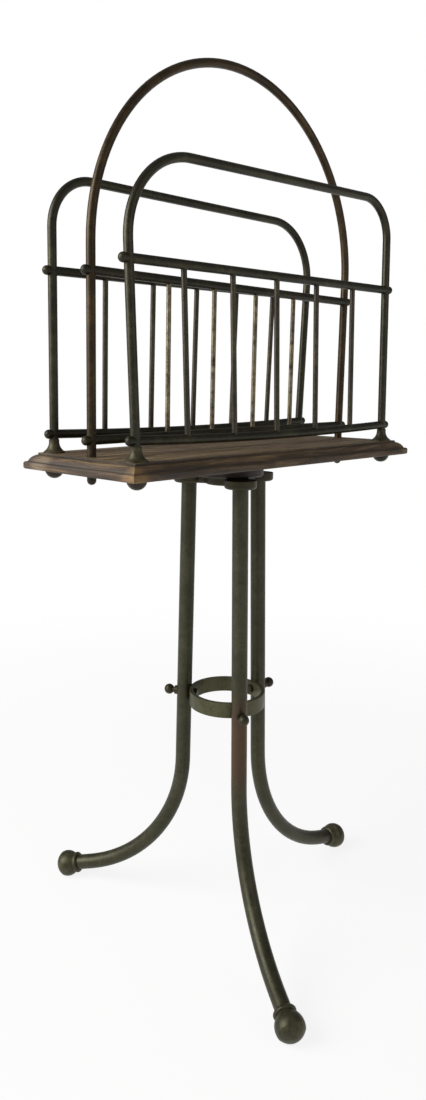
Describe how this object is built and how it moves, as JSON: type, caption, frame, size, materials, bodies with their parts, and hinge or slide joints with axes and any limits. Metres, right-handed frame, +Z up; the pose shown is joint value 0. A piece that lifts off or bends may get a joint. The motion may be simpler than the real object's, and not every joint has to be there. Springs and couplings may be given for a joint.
{
  "type": "newspaper rack",
  "caption": "Standing newspaper rack: a brass tube rack with a tall carrying hoop on a moulded wooden board, on a brass tripod with ball feet.",
  "frame": {"origin": "on the floor under the middle of the board", "axes": "+Z up, +X along the rack, -Y towards the front row of spindles"},
  "size_m": [0.4786, 0.4323, 1.0511],
  "materials": {
    "board_wood": "worn, greyed, oiled",
    "block_wood": "dark stain",
    "hoop_brass": "brown patina, satin",
    "post_brass": "dark patina, satin",
    "rail_brass": "dark olive patina, satin",
    "spindle_brass": "dark patina, satin",
    "rubbed_brass": "patina rubbed through",
    "ferrule_brass": "green-grey patina",
    "leg_brass": "olive patina, satin",
    "cast_brass": "dark olive patina, cast",
    "steel": "dull"
  },
  "bodies": {
    "root": {"base_board": "board_wood", "centre_lower_knobs": "rail_brass", "centre_lower_rail": "rail_brass", "centre_lower_tie_rod": "steel", "centre_spindle_1": "rubbed_brass", "centre_spindle_2": "rubbed_brass", "centre_spindle_3": "rubbed_brass", "centre_spindle_4": "rubbed_brass", "centre_upper_knobs": "rail_brass", "centre_upper_rail": "rail_brass", "centre_upper_tie_rod": "steel", "front_foot": "cast_brass", "front_frame": "post_brass", "front_left_ferrule": "ferrule_brass", "front_leg": "leg_brass", "front_lower_knobs": "rail_brass", "front_lower_rail": "rail_brass", "front_lower_tie_rod": "steel", "front_right_ferrule": "ferrule_brass", "front_spindle_1": "spindle_brass", "front_spindle_2": "spindle_brass", "front_spindle_3": "spindle_brass", "front_spindle_4": "spindle_brass", "front_spindle_5": "spindle_brass", "front_upper_knobs": "rail_brass", "front_upper_rail": "rail_brass", "front_upper_tie_rod": "steel", "handle_hoop": "hoop_brass", "hoop_nuts": "cast_brass", "hoop_studs": "steel", "leg_spigots": "steel", "mounting_block": "block_wood", "plate_screws": "steel", "post_nuts": "cast_brass", "post_studs": "steel", "rear_foot": "cast_brass", "rear_frame": "post_brass", "rear_left_ferrule": "ferrule_brass", "rear_leg": "leg_brass", "rear_lower_knobs": "rail_brass", "rear_lower_rail": "rail_brass", "rear_lower_tie_rod": "steel", "rear_right_ferrule": "ferrule_brass", "rear_spindle_1": "spindle_brass", "rear_spindle_2": "spindle_brass", "rear_spindle_3": "spindle_brass", "rear_spindle_4": "spindle_brass", "rear_spindle_5": "spindle_brass", "rear_upper_knobs": "rail_brass", "rear_upper_rail": "rail_brass", "rear_upper_tie_rod": "steel", "right_foot": "cast_brass", "right_leg": "leg_brass", "ring_bolts": "cast_brass", "ring_nuts": "cast_brass", "stretcher_ring": "leg_brass", "top_plate": "cast_brass"}
  },
  "joints": []
}
